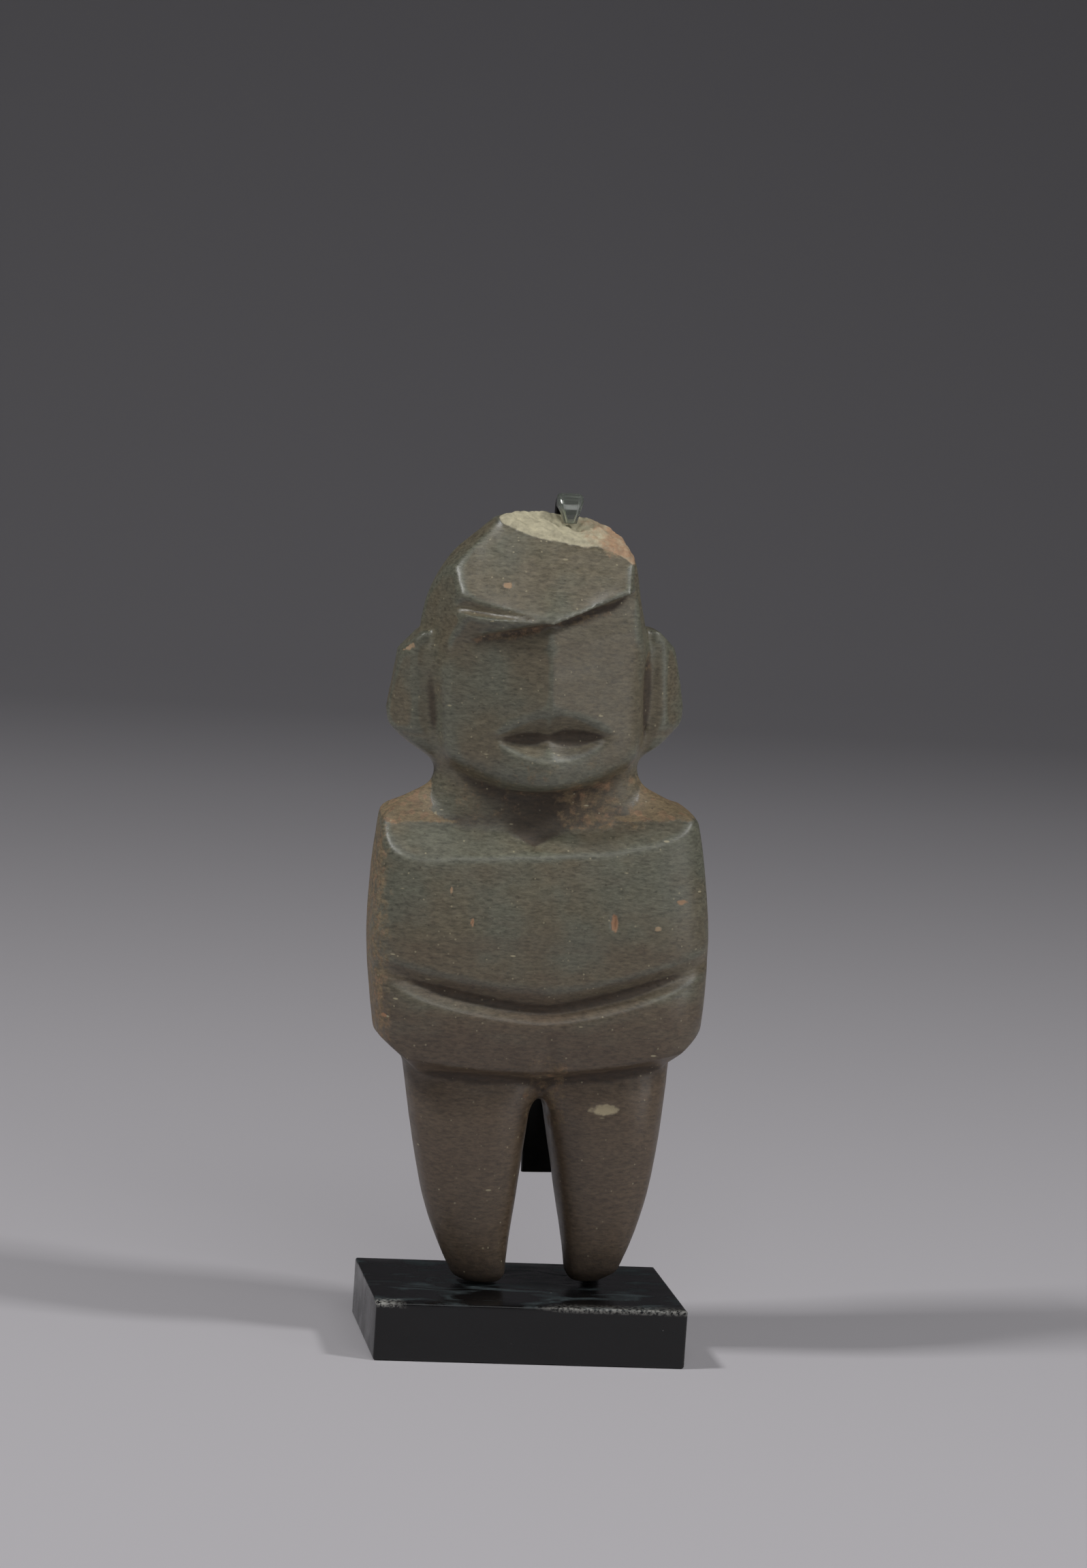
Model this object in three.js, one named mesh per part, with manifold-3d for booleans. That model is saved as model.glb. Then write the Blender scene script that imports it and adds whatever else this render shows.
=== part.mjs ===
// Carved stone idol on its display stand: a hardstone figure with a wedge-shaped head, ears,
// a grooved belly and two tapering legs, a small black block, and a flat blackened steel bracket
// that runs up the figure's back and hooks over the crown with a clear sleeve on its tip.
// Millimetres, +Z up. The viewer looks along +Y, so the front is at -Y.
// The origin is the centre of the block's underside.

import * as THREE from 'three';
import { mergeVertices } from 'three/addons/utils/BufferGeometryUtils.js';
import Module from 'manifold-3d';

const wasm = await Module();
wasm.setup();

// Driving dimensions of the stand.
const BLOCK = { width: 63.4, depth: 40, height: 11.9, edge: 0.35 };
const GAP = 0.3;

// The figure stands a little askew on its block: it leans to the viewer's left.
const PLACE = { x: 3.2, y: 1, z: BLOCK.height + 0.55, lean: 3.4 };

// The bracket: a flat strip up the back, hooked over the crown, and a rod that carries it.
// Rows are [distance back from the tip, value].
const STRIP = {
  width: [[0, 1.3], [1.6, 2.6], [4, 3.3], [9, 3.4], [15, 4.2], [24, 4.4], [60, 6.4], [170, 6.4]],
  thick: [[0, 0.5], [2, 1.1], [10, 1.2], [20, 1.8], [170, 1.8]],
  low: 32.4,
  x: 5.2,
  y: 15.4,
  lean: 1.33,
  askew: 4.8,
};
const HOOK = { top: 172.7, bend: 5, tipY: 0.3, tipZ: 169.2, fall: 3.2 };
const ROD = { radius: 1.9, x: 17.4, y: 16.2, bend: 6, top: 56, sunk: 6 };
const SLEEVE = {
  width: [[0, 2.6], [1.6, 3.6], [4.5, 5.4], [7, 5.4], [10.5, 4.5]],
  thick: [[0, 2.1], [2, 2.9], [12, 3]],
  wall: 0.55,
  past: 0.9,
  length: 8.4,
};

// Driving dimensions of the figure, in its own upright frame with the soles at height 0.
// Rows are [height, value]; depths are measured forwards or backwards from the side outline.
const TORSO = {
  low: 43,
  high: 106,
  halfWidth: [[43, 31.9], [56, 33.5], [72, 34.6], [88, 33.5], [96, 32.4], [106, 31]],
  front: [[43, 12.6], [50, 14.6], [56, 15.9], [66, 15.6], [76, 15.7], [88, 14.4], [106, 11]],
  back: [[43, 11], [54, 12.9], [64, 12.1], [78, 12.8], [92, 11.6], [106, 9]],
  square: 4.3,
};
const SHOULDER = {
  left: [[-21, -13.3, 89.9], [-31, -13.3, 88.2], [-21, -3.3, 99.9]],
  right: [[13.7, -13.9, 90.7], [30, -13.9, 91.2], [13.7, -3.9, 100.7]],
  leftTop: [[-33.5, 0, 96.3], [-23.5, 0, 103.3], [-33.5, 5, 96.8]],
  rightTop: [[32.9, 0, 95.8], [20.9, 0, 102.6], [32.9, 5, 96.3]],
  back: [[-20, 4, 101], [20, 4, 101], [0, 14, 92.5]],
};
const LEG = {
  outer: [[0, 13.4], [0.9, 16], [3.5, 17.9], [8, 19.9], [13, 21.7], [20, 23.6], [32, 25.7], [50, 27.8]],
  inner: [[0, 7.4], [0.9, 6.4], [8, 5.5], [18, 4.1], [29, 2.5], [36, 0.9], [42, -1.5], [50, -4]],
  front: [[0, 2.8], [0.9, 4.2], [4, 5.6], [12, 7.4], [25, 9.7], [33, 10.8], [39, 10.6], [44, 9.5], [50, 8.8]],
  back: [[0, 3.2], [0.9, 4.4], [4, 5.6], [12, 7.2], [25, 9.4], [38, 10.8], [50, 10.4]],
  square: 2.7,
};
const HEAD = {
  low: 99,
  high: 159.1,
  halfWidth: [[99, 18.3], [105, 19.6], [111, 20.7], [126, 21.4], [134, 22.6], [141, 21.4], [147, 19.6],
    [151.5, 17], [155.5, 13], [157.6, 9.5], [158.7, 5.5], [159.1, 1]],
  shift: [[99, 0], [111, -0.3], [126, -0.6], [134, -1.3], [141, -1.3], [147, -0.1], [152, 0.8], [159.1, 1]],
  front: [[99, 18], [104, 19], [112, 20], [126, 21], [137, 23.5], [141, 22.5], [148, 16.6],
    [154, 10.4], [157.6, 5], [159.1, 0.6]],
  back: [[99, 9.5], [106, 11.4], [118, 12.9], [134, 13.1], [145, 11.8], [152, 9], [157, 5.4], [159.1, 0.8]],
  square: 2.7,
};
const NECK = {
  low: 86,
  high: 112,
  halfWidth: [[86, 24], [100, 22.4], [104, 21], [107, 20.4], [112, 20.2]],
  shift: -0.4,
  front: 8.2,
  back: 9.2,
  square: 2.8,
};
const FACE = { ridge: 17.4, edge: 9.8, halfWidth: 20.8, hollowLow: 131.5, hollow: 1.4 };
const BROW = {
  apex: [0, -20.5, 136.7],
  left: [-18.8, -11, 138.9],
  right: [18.7, -11, 142.8],
  leftTop: [[-17.6, -11, 143.3], [-9.5, -3.4, 155.6]],
  rightTop: [[17.6, -11.5, 144.5], [9.5, -3.8, 155.2]],
  bevel: [[-14.3, -13.44, 141.4], [-9.1, -16, 140], [-14.3, -12.1, 138.7]],
};
const MOUTH = { x: 1.2, crease: 113.6, halfWidth: 12.4, up: 5.6, down: 5.4, depth: 4.6 };
const EAR = {
  outline: [[17, 135.4], [24.2, 134.2], [28.1, 130.3], [30.5, 118.2], [30.1, 115.2], [28, 112.5],
    [21, 107.9], [17, 108]],
  front: -4.4,
  back: 6.6,
  groove: [20.8, -2.5],
  crest: [23.4, -4.25],
  ridge: [25.8, -3.4],
  rim: [34, 8],
};
const BELLY = { crease: 58.7, rise: 8.9, power: 1.5, halfWidth: 34.2, depth: 3.1, fade: 0.75, up: 4.3, down: 2.7 };
const LOIN = { x: 0.4, low: 44, high: 56.5, radius: 3.2, depth: 0.9 };
const HIP = { low: 46.2, rise: 3.4, halfWidth: 27.5, slope: 0.55, inset: 12.5 };
const CROTCH = { top: 39.2, radius: 2.1 };
const SCAR = {
  x: [-6.5, 21],
  y: [-12, 14],
  middle: 8.4,
  height: 155.4,
  slope: 0.42,
  bump: 0.32,
  hollow: [6.2, -0.6, 1.2],
};

const stone = new THREE.MeshStandardMaterial({ color: 0x4b473b, roughness: 0.5, metalness: 0 });
const lacquer = new THREE.MeshStandardMaterial({ color: 0x0d0d0e, roughness: 0.35, metalness: 0 });
const steel = new THREE.MeshStandardMaterial({ color: 0x1b1b1a, roughness: 0.45, metalness: 0.6 });
const sleevePlastic = new THREE.MeshStandardMaterial({
  color: 0xc9ccc8, roughness: 0.2, metalness: 0, transparent: true, opacity: 0.4,
});

/** A smooth value at a height, from rows of [height, value]. */
function at(rows, z) {
  const last = rows.length - 1;
  let i = 0;
  while (i < last - 1 && z > rows[i + 1][0]) i += 1;
  const slope = (k) => {
    const a = rows[Math.max(k - 1, 0)];
    const b = rows[Math.min(k + 1, last)];
    return (b[1] - a[1]) / (b[0] - a[0]);
  };
  const [z0, v0] = rows[i];
  const [z1, v1] = rows[i + 1];
  const span = z1 - z0;
  const t = THREE.MathUtils.clamp((z - z0) / span, 0, 1);
  const t2 = t * t;
  const t3 = t2 * t;
  return (2 * t3 - 3 * t2 + 1) * v0 + (t3 - 2 * t2 + t) * span * slope(i)
    + (3 * t2 - 2 * t3) * v1 + (t3 - t2) * span * slope(i + 1);
}

/** The cutting solid of a closed geometry. */
function solid(geometry) {
  const bare = geometry.clone();
  bare.deleteAttribute('normal');
  bare.deleteAttribute('uv');
  const merged = mergeVertices(bare, 1e-4);
  return new wasm.Manifold(new wasm.Mesh({
    numProp: 3,
    vertProperties: new Float32Array(merged.attributes.position.array),
    triVerts: new Uint32Array(merged.index.array),
  }));
}

/** A named mesh of a cutting solid. */
function meshOf(name, body, material) {
  const { vertProperties, triVerts } = body.getMesh();
  const geometry = new THREE.BufferGeometry();
  geometry.setAttribute('position', new THREE.BufferAttribute(new Float32Array(vertProperties), 3));
  geometry.setIndex(new THREE.BufferAttribute(new Uint32Array(triVerts), 1));
  geometry.computeVertexNormals();
  const mesh = new THREE.Mesh(geometry, material);
  mesh.name = name;
  return mesh;
}

/** A closed skin: a unit cylinder's rings, moved to place(angle, share of the length, 0 at a cap's middle). */
function skin(around, along, place) {
  const geometry = new THREE.CylinderGeometry(1, 1, 1, around, along);
  const position = geometry.attributes.position;
  for (let i = 0; i < position.count; i += 1) {
    const across = position.getX(i);
    const back = -position.getZ(i);
    const point = place(Math.atan2(back, across), position.getY(i) + 0.5, Math.hypot(across, back) > 0.5 ? 1 : 0);
    position.setXYZ(i, ...point);
  }
  return solid(geometry);
}

/** A body of stacked squarish rounds, with its own front and back depth. */
function rounds(form, { around, along, centre = () => 0, halfWidth, front, back }) {
  return skin(around, along, (angle, t, r) => {
    const z = form.low + (form.high - form.low) * t;
    const c = Math.cos(angle);
    const s = Math.sin(angle);
    const power = 2 / form.square;
    const x = centre(z) + r * halfWidth(z) * Math.sign(c) * Math.abs(c) ** power;
    const depth = s < 0 ? front(z) : back(z);
    return [x, r * depth * Math.sign(s) * Math.abs(s) ** power, z];
  });
}

/** All that lies in front of the plane through three points, on the side that outward points to. */
function beyond(a, b, c, outward) {
  const size = 170;
  const plane = new THREE.Plane().setFromCoplanarPoints(
    new THREE.Vector3(...a), new THREE.Vector3(...b), new THREE.Vector3(...c));
  const normal = plane.normal.clone();
  if (normal.dot(new THREE.Vector3(...outward)) < 0) normal.negate();
  const turn = new THREE.Quaternion().setFromUnitVectors(new THREE.Vector3(0, 0, 1), normal);
  const box = new THREE.BoxGeometry(size, size, size);
  box.translate(0, 0, size / 2);
  box.applyQuaternion(turn);
  box.translate(...a);
  return solid(box);
}

/** A prism that stands upright on a plan outline of [x, y] points. */
function upright(points, low, high) {
  const shape = new THREE.Shape(points.map(([x, y]) => new THREE.Vector2(x, y)));
  const geometry = new THREE.ExtrudeGeometry(shape, { depth: high - low, bevelEnabled: false });
  geometry.translate(0, 0, low);
  return solid(geometry);
}

/** A prism that runs from front to back along Y, with a front outline of [x, z] points or a shape. */
function level(outline, front, back) {
  const shape = Array.isArray(outline)
    ? new THREE.Shape(outline.map(([x, z]) => new THREE.Vector2(x, z))) : outline;
  const geometry = new THREE.ExtrudeGeometry(shape, { depth: back - front, bevelEnabled: false, curveSegments: 8 });
  geometry.rotateX(Math.PI / 2);
  geometry.translate(0, back, 0);
  return solid(geometry);
}

/** The space above (side 1) or below (side -1) a ground surface given by height(x, y). */
function ground({ x, y, cells, side, height, far }) {
  const [x0, x1] = x;
  const [y0, y1] = y;
  const geometry = new THREE.BoxGeometry(x1 - x0, y1 - y0, 2, ...cells, 1);
  geometry.translate((x0 + x1) / 2, (y0 + y1) / 2, 0);
  const position = geometry.attributes.position;
  for (let i = 0; i < position.count; i += 1) {
    const onSurface = position.getZ(i) * side < 0;
    position.setZ(i, onSurface ? height(position.getX(i), position.getY(i)) : far);
  }
  return solid(geometry);
}

/** A three-sided cutter along a path: corners(share) gives its two outer points and its crease. */
function wedge(steps, corners) {
  return skin(3, steps, (angle, t, r) => {
    const points = corners(t);
    if (r === 0) return [0, 1, 2].map((k) => (points[0][k] + points[1][k] + points[2][k]) / 3);
    return points[Math.round((angle / (2 * Math.PI)) * 3 + 0.75)];
  });
}

/** Shares of a path's length where a sweep needs a ring: the ends of its parts, and steps in each bend. */
function stops(path) {
  const ends = path.getCurveLengths();
  const whole = ends[ends.length - 1];
  const shares = [0];
  path.curves.forEach((part, i) => {
    const from = i > 0 ? ends[i - 1] : 0;
    const steps = part.isLineCurve3 ? 3 : 7;
    for (let k = 1; k <= steps; k += 1) shares.push((from + ((ends[i] - from) * k) / steps) / whole);
  });
  return shares;
}

/** Which side of nought a value lies on, with nought itself for what is only a rounding error. */
const way = (value) => (Math.abs(value) < 1e-9 ? 0 : Math.sign(value));

/** A round-cornered bar swept along a path: size(distance from its end) gives a width and a thickness. */
function sweep(path, across, size, { from = 0, around = 16, roundness = 0.3 } = {}) {
  const length = path.getLength();
  const start = from / length;
  const shares = [start, ...stops(path).filter((share) => share > start + 1e-3)];
  return skin(around, shares.length - 1, (angle, t, r) => {
    const share = shares[Math.round(t * (shares.length - 1))];
    const normal = path.getTangent(share).cross(across).normalize();
    const [width, thick] = size((1 - share) * length);
    const corner = Math.min(width, thick) * roundness;
    const c = Math.cos(angle);
    const s = Math.sin(angle);
    const side = r * (way(c) * (width / 2 - corner) + corner * c);
    const out = r * (way(s) * (thick / 2 - corner) + corner * s);
    return path.getPoint(share).addScaledVector(across, side).addScaledVector(normal, out).toArray();
  });
}

const turned = (points, side) => points.map(([x, ...rest]) => [x * side, ...rest]);

/** What is ground off the shoulders: a front facet, a side slope and a back slope, and the notch at the throat. */
function shoulderCuts() {
  const { left, right, leftTop, rightTop, back } = SHOULDER;
  const notch = level([[-12.5, 97.5], [-2.4, 91], [11.5, 97.5], [11.5, 110], [-12.5, 110]], -30, -6);
  return [left, right, leftTop, rightTop, back].map((points) => beyond(...points, [0, 0, 1])).concat(notch);
}

function torso() {
  let body = rounds(TORSO, {
    around: 56,
    along: 22,
    halfWidth: (z) => at(TORSO.halfWidth, z),
    front: (z) => at(TORSO.front, z),
    back: (z) => at(TORSO.back, z),
  });
  for (const cut of shoulderCuts()) body = body.subtract(cut);
  for (const side of [-1, 1]) {
    body = body.subtract(beyond([side * 33.8, 0, 53.4], [side * 27.3, 0, 47.3], [side * 27.3, -13, 47.9],
      [side, 0, -1]));
  }
  body = body.subtract(ground({
    x: [-44, 44],
    y: [-30, 30],
    cells: [20, 10],
    side: -1,
    height: (x, y) => {
      const inward = Math.max(HIP.inset - Math.abs(y + 1), 0);
      return HIP.low + HIP.rise * (x / HIP.halfWidth) ** 2 - HIP.slope * inward;
    },
    far: 30,
  }));
  return body.subtract(bellyGroove()).subtract(loinGroove());
}

/** How far forward the torso's skin stands at a place. */
function chestDepth(x, z) {
  const share = Math.min(Math.abs(x) / at(TORSO.halfWidth, z), 1);
  return at(TORSO.front, z) * (1 - share ** TORSO.square) ** (1 / TORSO.square);
}

/** The curved groove across the belly, with a steep upper wall and a ledge below. */
function bellyGroove() {
  const reach = 3;
  return wedge(40, (t) => {
    const along = Math.sin((t - 0.5) * Math.PI);
    const x = BELLY.halfWidth * along;
    const share = Math.abs(along);
    const z = BELLY.crease + BELLY.rise * share ** BELLY.power;
    const depth = BELLY.depth * (1 - BELLY.fade * share ** 4);
    const y = depth - chestDepth(x, z);
    const front = y - depth * reach;
    return [
      [x, front, z + BELLY.up * (1 - 0.5 * share ** 2) * reach],
      [x, front, z - BELLY.down * (1 + 0.1 * share) * reach],
      [x, y, z],
    ];
  });
}

/** The shallow upright channel from the belly down to the crotch, which fades out at its top. */
function loinGroove() {
  const { x, low, high, radius, depth } = LOIN;
  return skin(20, 8, (angle, t, r) => {
    const z = THREE.MathUtils.lerp(low, high, t);
    const sunk = depth * (1.02 - THREE.MathUtils.smoothstep(t, 0.4, 1));
    const middle = sunk - radius - at(TORSO.front, z);
    return [x + r * radius * Math.cos(angle), middle + r * radius * Math.sin(angle), z];
  });
}

function leg(side) {
  const form = { low: 0, high: 50, square: LEG.square };
  return rounds(form, {
    around: 28,
    along: 26,
    centre: (z) => side * (at(LEG.outer, z) + at(LEG.inner, z)) / 2,
    halfWidth: (z) => (at(LEG.outer, z) - at(LEG.inner, z)) / 2,
    front: (z) => at(LEG.front, z),
    back: (z) => at(LEG.back, z),
  });
}

/** The sawn slot between the legs, with a round top. */
function crotchSlot() {
  const shape = new THREE.Shape();
  shape.moveTo(-5.4, -2);
  shape.lineTo(5.8, -2);
  shape.lineTo(CROTCH.radius, CROTCH.top - 4.5);
  shape.quadraticCurveTo(CROTCH.radius, CROTCH.top, 0, CROTCH.top);
  shape.quadraticCurveTo(-CROTCH.radius, CROTCH.top, -CROTCH.radius, CROTCH.top - 4.5);
  return level(shape, -30, 30);
}

/** An ear slab: beside the face a groove, then a crest, a narrow strip, a sharp ridge and the outer facet. */
function ear(side) {
  const { outline, front, back, groove, crest, ridge, rim } = EAR;
  const low = 100;
  const high = 140;
  const outside = front - 5;
  const away = [[groove[0] - 6, groove[1]], groove, crest, ridge, rim, [rim[0], outside], [groove[0] - 6, outside]];
  return level(turned(outline, side), front, back).subtract(upright(turned(away, side), low, high));
}

/** What is ground away under the brow: the two face planes, and the hollow band at the eyes. */
function faceCut(side) {
  const { ridge, edge, halfWidth, hollowLow, hollow } = FACE;
  const far = 60;
  const slope = (ridge - edge) / halfWidth;
  const plan = [[0, -ridge], [side * far, -ridge + slope * far], [side * far, -far], [0, -far]];
  const under = side < 0 ? BROW.left : BROW.right;
  const below = beyond(BROW.apex, under, [0, BROW.apex[1] + 6, BROW.apex[2] + 0.3], [0, 0, -1]);
  const half = upright([[0, -far], [side * far, -far], [side * far, far], [0, far]], 90, 150);
  const planes = upright(plan, 90, 150);
  const band = beyond([0, -ridge, hollowLow], [side * halfWidth, -edge, hollowLow + (side > 0 ? 4.2 : 1.6)],
    [0, hollow - ridge, BROW.apex[2]], [0, -1, 0.1]).intersect(half);
  return planes.add(band).intersect(below);
}

function mouthCut() {
  const reach = 2.2;
  return wedge(20, (t) => {
    const x = MOUTH.x + MOUTH.halfWidth * (2 * t - 1);
    const share = Math.abs(2 * t - 1);
    const open = 1.005 - share ** 2;
    const surface = -FACE.ridge + ((FACE.ridge - FACE.edge) * Math.abs(x)) / FACE.halfWidth;
    const y = surface + MOUTH.depth * open;
    const front = y - MOUTH.depth * open * reach;
    const rise = MOUTH.up * (0.75 * open + 0.25 * (1.005 - share));
    return [
      [x, front, MOUTH.crease + rise * reach],
      [x, front, MOUTH.crease - MOUTH.down * open * reach],
      [x, y, MOUTH.crease],
    ];
  });
}

function head() {
  let body = rounds(HEAD, {
    around: 48,
    along: 30,
    centre: (z) => at(HEAD.shift, z),
    halfWidth: (z) => at(HEAD.halfWidth, z),
    front: (z) => at(HEAD.front, z),
    back: (z) => at(HEAD.back, z),
  });
  for (const side of [-1, 1]) {
    const top = side < 0 ? BROW.leftTop : BROW.rightTop;
    body = body.subtract(faceCut(side));
    body = body.subtract(beyond(BROW.apex, ...top, [0, -1, 1]));
    body = body.subtract(beyond([side * 18.9, -6, 147.5], [side * 22.8, 1.5, 140.4], [side * 17.6, -11, 143.3],
      [side, -0.3, 0.2]));
    body = body.subtract(beyond([0, -17.4, 108], [side * 20.8, -9.8, 110], [0, -15.8, 102.8], [0, -1, -0.2]));
  }
  const aboveBrow = beyond(BROW.apex, BROW.left, [0, BROW.apex[1] + 6, BROW.apex[2] + 0.3], [0, 0, 1]);
  body = body.subtract(beyond(...BROW.bevel, [0, -1, -0.5]).intersect(aboveBrow));
  body = body.subtract(beyond([-18.4, 0, 148.6], [-11, 0, 155.2], [-16.9, -8, 148.8], [-1, 0, 1]));
  body = body.subtract(crownBreak());
  body = body.subtract(ground({
    x: [-40, 40],
    y: [-30, 30],
    cells: [24, 6],
    side: -1,
    height: (x) => 102.8 + 0.0155 * x * x,
    far: 92,
  }));
  return body.subtract(mouthCut());
}

/** The rough scar where a flake came off the crown, as a bumpy ground. */
function crownBreak() {
  const height = (x, y) => {
    const away = x - SCAR.middle;
    const lie = away < 0 ? -0.18 * away : -0.034 * away * away;
    const bump = Math.sin(1.7 * x + 0.6 * y) + Math.sin(0.9 * x - 1.9 * y + 1);
    const [hollowX, hollowY, hollowDepth] = SCAR.hollow;
    const hollow = hollowDepth * Math.exp(-((x - hollowX) ** 2 + (y - hollowY) ** 2) / 6);
    return SCAR.height + SCAR.slope * y + lie + SCAR.bump * bump - hollow;
  };
  return ground({ x: SCAR.x, y: SCAR.y, cells: [14, 12], side: 1, height, far: 175 });
}

function neck() {
  return rounds(NECK, {
    around: 40,
    along: 10,
    centre: () => NECK.shift,
    halfWidth: (z) => at(NECK.halfWidth, z),
    front: () => NECK.front,
    back: () => NECK.back,
  });
}

function idol() {
  let body = torso();
  body = body.add(leg(-1)).add(leg(1));
  body = body.subtract(crotchSlot());
  body = body.add(neck()).add(head()).add(ear(-1)).add(ear(1));
  return meshOf('idol', body.subtract(underBlock()), stone);
}

/** What would reach into the block: the left sole is worn level where the figure stands on it. */
function underBlock() {
  const lean = THREE.MathUtils.degToRad(PLACE.lean);
  const onTop = (x, y) => [x, y, (BLOCK.height + GAP - PLACE.z - x * Math.sin(lean)) / Math.cos(lean)];
  return beyond(onTop(0, 0), onTop(-20, 0), onTop(0, 10), [0, 0, -1]);
}

function block() {
  const { width, depth, height, edge } = BLOCK;
  const shape = new THREE.Shape([
    new THREE.Vector2(-width / 2 + edge, -depth / 2 + edge),
    new THREE.Vector2(width / 2 - edge, -depth / 2 + edge),
    new THREE.Vector2(width / 2 - edge, depth / 2 - edge),
    new THREE.Vector2(-width / 2 + edge, depth / 2 - edge),
  ]);
  const geometry = new THREE.ExtrudeGeometry(shape, {
    depth: height - 2 * edge, bevelEnabled: true, bevelSize: edge, bevelThickness: edge, bevelSegments: 1,
  });
  geometry.translate(0, 0, edge);
  const hole = new THREE.CylinderGeometry(ROD.radius + GAP, ROD.radius + GAP, height, 24);
  hole.rotateX(Math.PI / 2);
  hole.translate(ROD.x, ROD.y, height * 1.5 - ROD.sunk - GAP);
  return meshOf('block', solid(geometry).subtract(solid(hole)), lacquer);
}

/** A point of the strip's middle line, which leans across the back and whose hook is bent askew. */
function onStrip(y, z) {
  const lean = THREE.MathUtils.degToRad(STRIP.lean);
  const aside = (STRIP.y - y) * Math.tan(THREE.MathUtils.degToRad(STRIP.askew));
  return new THREE.Vector3(STRIP.x - z * Math.sin(lean) - aside, y, z * Math.cos(lean));
}

/** The middle line of the strip: up the back, over the crown and down to its tip, or a little past it. */
function hookLine(past = 0) {
  const { y, low } = STRIP;
  const { top, bend, tipY, tipZ, fall } = HOOK;
  const path = new THREE.CurvePath();
  path.add(new THREE.LineCurve3(onStrip(y, low), onStrip(y, top - bend)));
  path.add(new THREE.QuadraticBezierCurve3(onStrip(y, top - bend), onStrip(y, top), onStrip(y - bend, top)));
  path.add(new THREE.LineCurve3(onStrip(y - bend, top), onStrip(tipY + fall, top)));
  path.add(new THREE.QuadraticBezierCurve3(onStrip(tipY + fall, top), onStrip(tipY, top), onStrip(tipY, tipZ)));
  if (past > 0) path.add(new THREE.LineCurve3(onStrip(tipY, tipZ), onStrip(tipY, tipZ - past)));
  return path;
}

/** The line across the strip's width. */
function acrossStrip() {
  const lean = THREE.MathUtils.degToRad(STRIP.lean);
  return new THREE.Vector3(Math.cos(lean), 0, Math.sin(lean));
}

/** The rod's middle line: up out of the block behind one leg, and across to the strip. */
function rodLine() {
  const { x, y, bend, top, sunk } = ROD;
  const spot = (px, pz) => new THREE.Vector3(px, y, pz);
  const path = new THREE.CurvePath();
  path.add(new THREE.LineCurve3(spot(x, BLOCK.height - sunk), spot(x, top - bend)));
  path.add(new THREE.QuadraticBezierCurve3(spot(x, top - bend), spot(x, top), spot(x - bend, top)));
  path.add(new THREE.LineCurve3(spot(x - bend, top), spot(onStrip(y, top).x - 1, top)));
  return path;
}

function bracket() {
  const strip = sweep(hookLine(), acrossStrip(), (d) => [at(STRIP.width, d), at(STRIP.thick, d)]);
  const round = { around: 20, roundness: 0.5 };
  const rod = sweep(rodLine(), new THREE.Vector3(0, 1, 0), () => [2 * ROD.radius, 2 * ROD.radius], round);
  return meshOf('bracket', strip.add(rod), steel);
}

/** The clear tube on the hook's tip, open at both ends. */
function sleeve() {
  const { past, length, wall } = SLEEVE;
  const extra = 0.5;
  const outerLine = hookLine(past);
  const boreLine = hookLine(past + extra);
  const from = outerLine.getLength() - length;
  const size = (d) => [at(SLEEVE.width, d), at(SLEEVE.thick, d)];
  const bore = (d) => size(Math.max(d - extra, 0)).map((value) => value - 2 * wall);
  const outer = sweep(outerLine, acrossStrip(), size, { from });
  const inner = sweep(boreLine, acrossStrip(), bore, { from: from - extra });
  return meshOf('sleeve', outer.subtract(inner), sleevePlastic);
}

const object = new THREE.Group();
const figure = new THREE.Group();
figure.position.set(PLACE.x, PLACE.y, PLACE.z);
figure.rotation.y = THREE.MathUtils.degToRad(-PLACE.lean);
figure.add(idol());
object.add(figure, block(), bracket(), sleeve());

export default object;
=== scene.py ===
"""Anthropomorphic idol of dark hardstone on its small display stand, dressed for rendering.

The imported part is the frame. The figure, its base block, the steel bracket behind it and the
clear sleeve on the bracket's hook are each one finished piece that stands for the CAD solid
of the same shape.
"""

import math
from functools import partial

import bpy
import numpy as np
from mathutils import Matrix, Vector, noise


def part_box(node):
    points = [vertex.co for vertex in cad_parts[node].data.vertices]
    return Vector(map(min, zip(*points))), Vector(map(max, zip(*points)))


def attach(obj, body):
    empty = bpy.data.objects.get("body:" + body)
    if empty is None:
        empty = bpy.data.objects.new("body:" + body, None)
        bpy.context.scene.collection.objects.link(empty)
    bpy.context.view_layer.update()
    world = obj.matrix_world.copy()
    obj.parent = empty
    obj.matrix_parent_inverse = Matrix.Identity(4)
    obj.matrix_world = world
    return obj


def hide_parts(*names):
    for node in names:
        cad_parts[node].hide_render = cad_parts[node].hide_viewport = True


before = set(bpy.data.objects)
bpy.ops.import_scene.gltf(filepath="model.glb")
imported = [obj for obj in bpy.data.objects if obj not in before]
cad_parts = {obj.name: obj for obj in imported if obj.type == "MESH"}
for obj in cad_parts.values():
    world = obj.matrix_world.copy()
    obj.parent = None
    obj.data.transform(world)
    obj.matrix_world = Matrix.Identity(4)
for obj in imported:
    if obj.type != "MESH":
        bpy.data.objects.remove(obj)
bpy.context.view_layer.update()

bl_info = {
    "name": "Anthropomorphic idol",
    "version": (1, 0, 0),
    "blender": (4, 5, 0),
    "location": "3D View > Sidebar > Idol",
    "description": "Dresses a carved hardstone figure and its display stand",
    "category": "Object",
}

MM = 0.001

# The figure leans a little on its base block: where its own upright axes stand in the frame.
FIGURE_PLACE = np.array([3.2, 1.0, 12.45])
FIGURE_LEAN = math.radians(3.4)

# Where the rod of the bracket enters the base block, and the hole that it stands in, in mm.
ROD_PLACE = (17.4, 16.2)
ROD_HOLE_RADIUS = 2.2
ROD_HOLE_DEPTH = 6.3


def linear(colour):
    """The linear RGBA of an sRGB hex colour."""
    shares = [int(colour[i:i + 2], 16) / 255 for i in (1, 3, 5)]
    return tuple(c / 12.92 if c <= 0.04045 else ((c + 0.055) / 1.055) ** 2.4 for c in shares) + (1.0,)


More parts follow.
